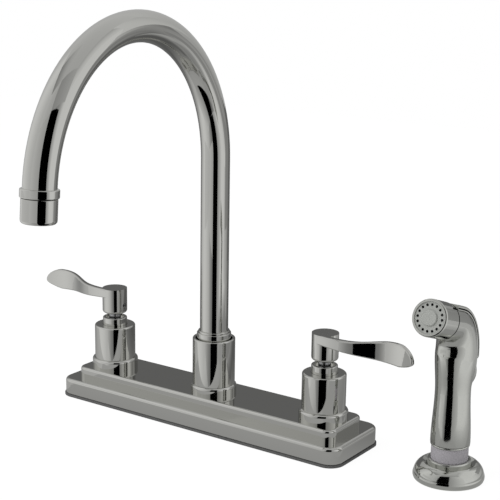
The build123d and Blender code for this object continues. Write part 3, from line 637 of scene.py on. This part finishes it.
# painted bench top: white to the eye, and it still takes the object's shadow
def addBench(settings):
    material, tree = newMaterial("paintedBench")
    paint = addNode(tree, "ShaderNodeBsdfDiffuse", {"Color": hexToLinear(settings["bench"])})
    glow = addNode(tree, "ShaderNodeEmission", {"Color": hexToLinear(settings["white"]),
                                                "Strength": settings["benchGlow"]})
    share = addNode(tree, "ShaderNodeMath", {"operation": "MULTIPLY", 1: settings["benchWhite"]},
                    {0: seenRays(tree)})
    mix = addNode(tree, "ShaderNodeMixShader", None,
                  {0: share.outputs[0], 1: paint.outputs[0], 2: glow.outputs[0]})
    addNode(tree, "ShaderNodeOutputMaterial", None, {"Surface": mix.outputs[0]})
    reach = settings["reach"]
    front = settings["benchFront"]
    for name, near, far in (("bench", front, reach), ("benchApron", -reach, front)):
        outline = ((-reach, near), (reach, near), (reach, far), (-reach, far))
        mesh = bpy.data.meshes.new(name)
        mesh.from_pydata([Vector((x, y, settings["benchTop"])) * mm for x, y in outline], [], [(0, 1, 2, 3)])
        mesh.materials.append(material)
        bench = bpy.data.objects.new(name, mesh)
        bench.visible_glossy = near == front  # the metal looks past the apron to the tent's table
        scene.collection.objects.link(bench)


addWorld(roomSet)
addBench(roomSet)

# a light tent turned to face the camera, which only the metal sees. Distances in mm from the spout's axis
tentSet = {"facing": -53.6, "front": 400, "side": 420, "back": 320, "table": -125, "roof": 820, "bench": 0.3}
# each card: its wall and how far off it hangs, its span along and up the wall or its four corners, and its
# tone from one end of the ramp to the other. Along runs to the front on the left wall, to the back on the
# right wall and to the right elsewhere. On the roof and the table height runs to the back, and the bench has
# the scene's own axes
cardSets = [
    {"name": "doorGap", "wall": "front", "nudge": -4, "tones": (0.0, 0.0),
     "corners": [(-132, -128), (120, -112), (142, 432), (-108, 476)]},
    {"name": "frontLeft", "wall": "front", "along": (-430, 0), "height": (-126, 470),
     "tones": (0.64, 0.44), "ramp": "along"},
    {"name": "frontLeftLow", "wall": "front", "nudge": -2, "along": (-430, -120), "height": (-126, 30),
     "tones": (0.54, 0.24), "ramp": "along"},
    {"name": "frontRight", "wall": "front", "along": (0, 430), "height": (-126, 470),
     "tones": (0.3, 0.74), "ramp": "along"},
    {"name": "frontTop", "wall": "front", "along": (-430, 430), "height": (466, 822),
     "tones": (0.3, 0.48), "ramp": "along"},
    {"name": "frontTopLeft", "wall": "front", "nudge": -2, "tones": (0.64, 0.54), "ramp": "along",
     "corners": [(-430, 466), (-106, 466), (-140, 822), (-430, 822)]},
    {"name": "leftFront", "wall": "left", "along": (0, 402), "height": (-126, 822),
     "tones": (0.82, 0.62), "ramp": "along"},
    {"name": "leftBack", "wall": "left", "along": (-322, 2), "height": (-126, 822),
     "tones": (0.62, 0.82), "ramp": "along"},
    {"name": "leftBand", "wall": "left", "nudge": -2, "along": (0, 402), "height": (62, 190),
     "tones": (0.68, 0.6), "ramp": "along"},
    {"name": "rightFront", "wall": "right", "along": (-402, 20), "height": (-126, 500),
     "tones": (0.84, 0.78), "ramp": "height"},
    {"name": "rightFrontLow", "wall": "right", "nudge": -2, "along": (-180, 20), "height": (-126, 130),
     "tones": (0.8, 0.54), "ramp": "along"},
    {"name": "rightFrontTop", "wall": "right", "along": (-402, 20), "height": (498, 822),
     "tones": (0.72, 0.5), "ramp": "height"},
    {"name": "rightMiddle", "wall": "right", "along": (18, 180), "height": (-126, 360),
     "tones": (0.54, 0.26), "ramp": "along"},
    {"name": "rightBand", "wall": "right", "nudge": -3, "along": (-60, 120), "height": (62, 160),
     "tones": (0.36, 0.3), "ramp": "along"},
    {"name": "rightBackLow", "wall": "right", "along": (178, 322), "height": (-126, 360),
     "tones": (0.12, 0.5), "ramp": "height"},
    {"name": "rightBackHigh", "wall": "right", "nudge": 2, "along": (18, 322), "height": (298, 822),
     "tones": (0.7, 0.58), "ramp": "along"},
    {"name": "backLow", "wall": "back", "along": (-422, 422), "height": (-126, 220),
     "tones": (0.14, 0.16), "ramp": "height"},
    {"name": "backLowLeft", "wall": "back", "nudge": -2, "along": (-422, -120), "height": (-126, 220),
     "tones": (0.44, 0.16), "ramp": "along"},
    {"name": "backHigh", "wall": "back", "along": (-422, 422), "height": (218, 822),
     "tones": (0.5, 0.65), "ramp": "height"},
    {"name": "roof", "wall": "roof", "along": (-430, 430), "height": (-410, 330),
     "tones": (0.54, 0.64), "ramp": "height"},
    {"name": "roofCorner", "wall": "roof", "nudge": -2, "tones": (0.3, 0.54), "ramp": "along",
     "corners": [(-430, -410), (-90, -410), (-130, -50), (-430, -50)]},
    {"name": "tableLeft", "wall": "table", "along": (-430, -130), "height": (-410, 330),
     "tones": (0.68, 0.4), "ramp": "along"},
    {"name": "tableRight", "wall": "table", "along": (118, 430), "height": (-410, 330),
     "tones": (0.2, 0.6), "ramp": "along"},
    {"name": "tableGap", "wall": "table", "nudge": 1, "along": (-132, 120), "height": (-410, 330),
     "tones": (0.0, 0.0)},
    {"name": "benchLeft", "wall": "bench", "along": (-520, -140), "height": (-100, 150),
     "tones": (0.6, 0.13), "ramp": "height"},
    {"name": "benchMiddle", "wall": "bench", "along": (-141, 150), "height": (-100, 150),
     "tones": (0.47, 0.15), "ramp": "height"},
    {"name": "benchBack", "wall": "bench", "along": (-520, 150), "height": (149, 520),
     "tones": (0.13, 0.13)},
    {"name": "benchSide", "wall": "bench", "nudge": 0.1, "along": (80, 200), "height": (60, 520),
     "tones": (0.14, 0.45), "ramp": "along"},
    {"name": "benchRight", "wall": "bench", "along": (149, 280), "height": (-100, 520),
     "tones": (0.42, 0.46), "ramp": "height"},
    {"name": "benchNook", "wall": "bench", "nudge": 0.2, "along": (160, 279), "height": (40, 220),
     "tones": (0.3, 0.36), "ramp": "along"},
    {"name": "benchFarRight", "wall": "bench", "along": (279, 400), "height": (-100, 520),
     "tones": (0.46, 0.82), "ramp": "along"},
    {"name": "benchEnd", "wall": "bench", "along": (399, 560), "height": (-100, 520),
     "tones": (0.82, 0.7), "ramp": "height"},
]


# where a point of a wall lies: its own (along, height) turned into the scene
def wallPoint(wall, along, height, nudge):
    face = radians(tentSet["facing"])
    ahead = Vector((cos(face), sin(face), 0))
    aside = Vector((-sin(face), cos(face), 0))
    upright = Vector((0, 0, height))
    if wall == "front":
        return ahead * (tentSet["front"] + nudge) + aside * along + upright
    if wall == "back":
        return -ahead * (tentSet["back"] + nudge) + aside * along + upright
    if wall == "left":
        return -aside * (tentSet["side"] + nudge) + ahead * along + upright
    if wall == "right":
        return aside * (tentSet["side"] + nudge) - ahead * along + upright
    if wall == "bench":
        return Vector((along, height, tentSet["bench"] + nudge))
    return aside * along - ahead * height + Vector((0, 0, tentSet[wall] + nudge))


# the four corners of a card, round from its lower start
def cornersOf(card):
    if "corners" in card:
        return card["corners"]
    start, end = card["along"]
    foot, top = card["height"]
    return [(start, foot), (end, foot), (end, top), (start, top)]


def addCard(card):
    material, tree = newMaterial(card["name"])
    place = addNode(tree, "ShaderNodeTexCoord").outputs["UV"]
    split = addNode(tree, "ShaderNodeSeparateXYZ", None, {0: place})
    across = split.outputs["X" if card.get("ramp") == "along" else "Y"]
    tone = addNode(tree, "ShaderNodeMapRange", {"To Min": card["tones"][0], "To Max": card["tones"][1],
                                                "interpolation_type": "SMOOTHSTEP"}, {"Value": across})
    glow = addNode(tree, "ShaderNodeEmission", {"Color": hexToLinear(roomSet["white"])},
                   {"Strength": tone.outputs["Result"]})
    addNode(tree, "ShaderNodeOutputMaterial", None, {"Surface": glow.outputs[0]})
    mesh = bpy.data.meshes.new(card["name"])
    points = [wallPoint(card["wall"], *corner, card.get("nudge", 0)) * mm for corner in cornersOf(card)]
    mesh.from_pydata(points, [], [(0, 1, 2, 3)])
    layer = mesh.uv_layers.new(name="ramp")
    for loop, corner in zip(layer.data, ((0, 0), (1, 0), (1, 1), (0, 1))):
        loop.uv = corner
    mesh.materials.append(material)
    piece = bpy.data.objects.new(card["name"], mesh)
    scene.collection.objects.link(piece)
    piece.visible_camera = False
    piece.visible_diffuse = False
    piece.visible_shadow = False


for cardSet in cardSets:
    addCard(cardSet)
print("tent of", len(cardSets), "cards")

# one soft lamp over the left shoulder gives the plastics and the bench their light
lampSet = {"place": (-500, -700, 1100), "size": 900, "watts": 9.0}


def addLamp(settings):
    light = bpy.data.lights.new("softLamp", "AREA")
    light.size = settings["size"] * mm
    light.energy = settings["watts"]
    lamp = bpy.data.objects.new("softLamp", light)
    lamp.location = Vector(settings["place"]) * mm
    lamp.rotation_euler = (-lamp.location).to_track_quat("-Z", "Y").to_euler()
    lamp.visible_glossy = False  # the metal shows the tent instead
    scene.collection.objects.link(lamp)


addLamp(lampSet)
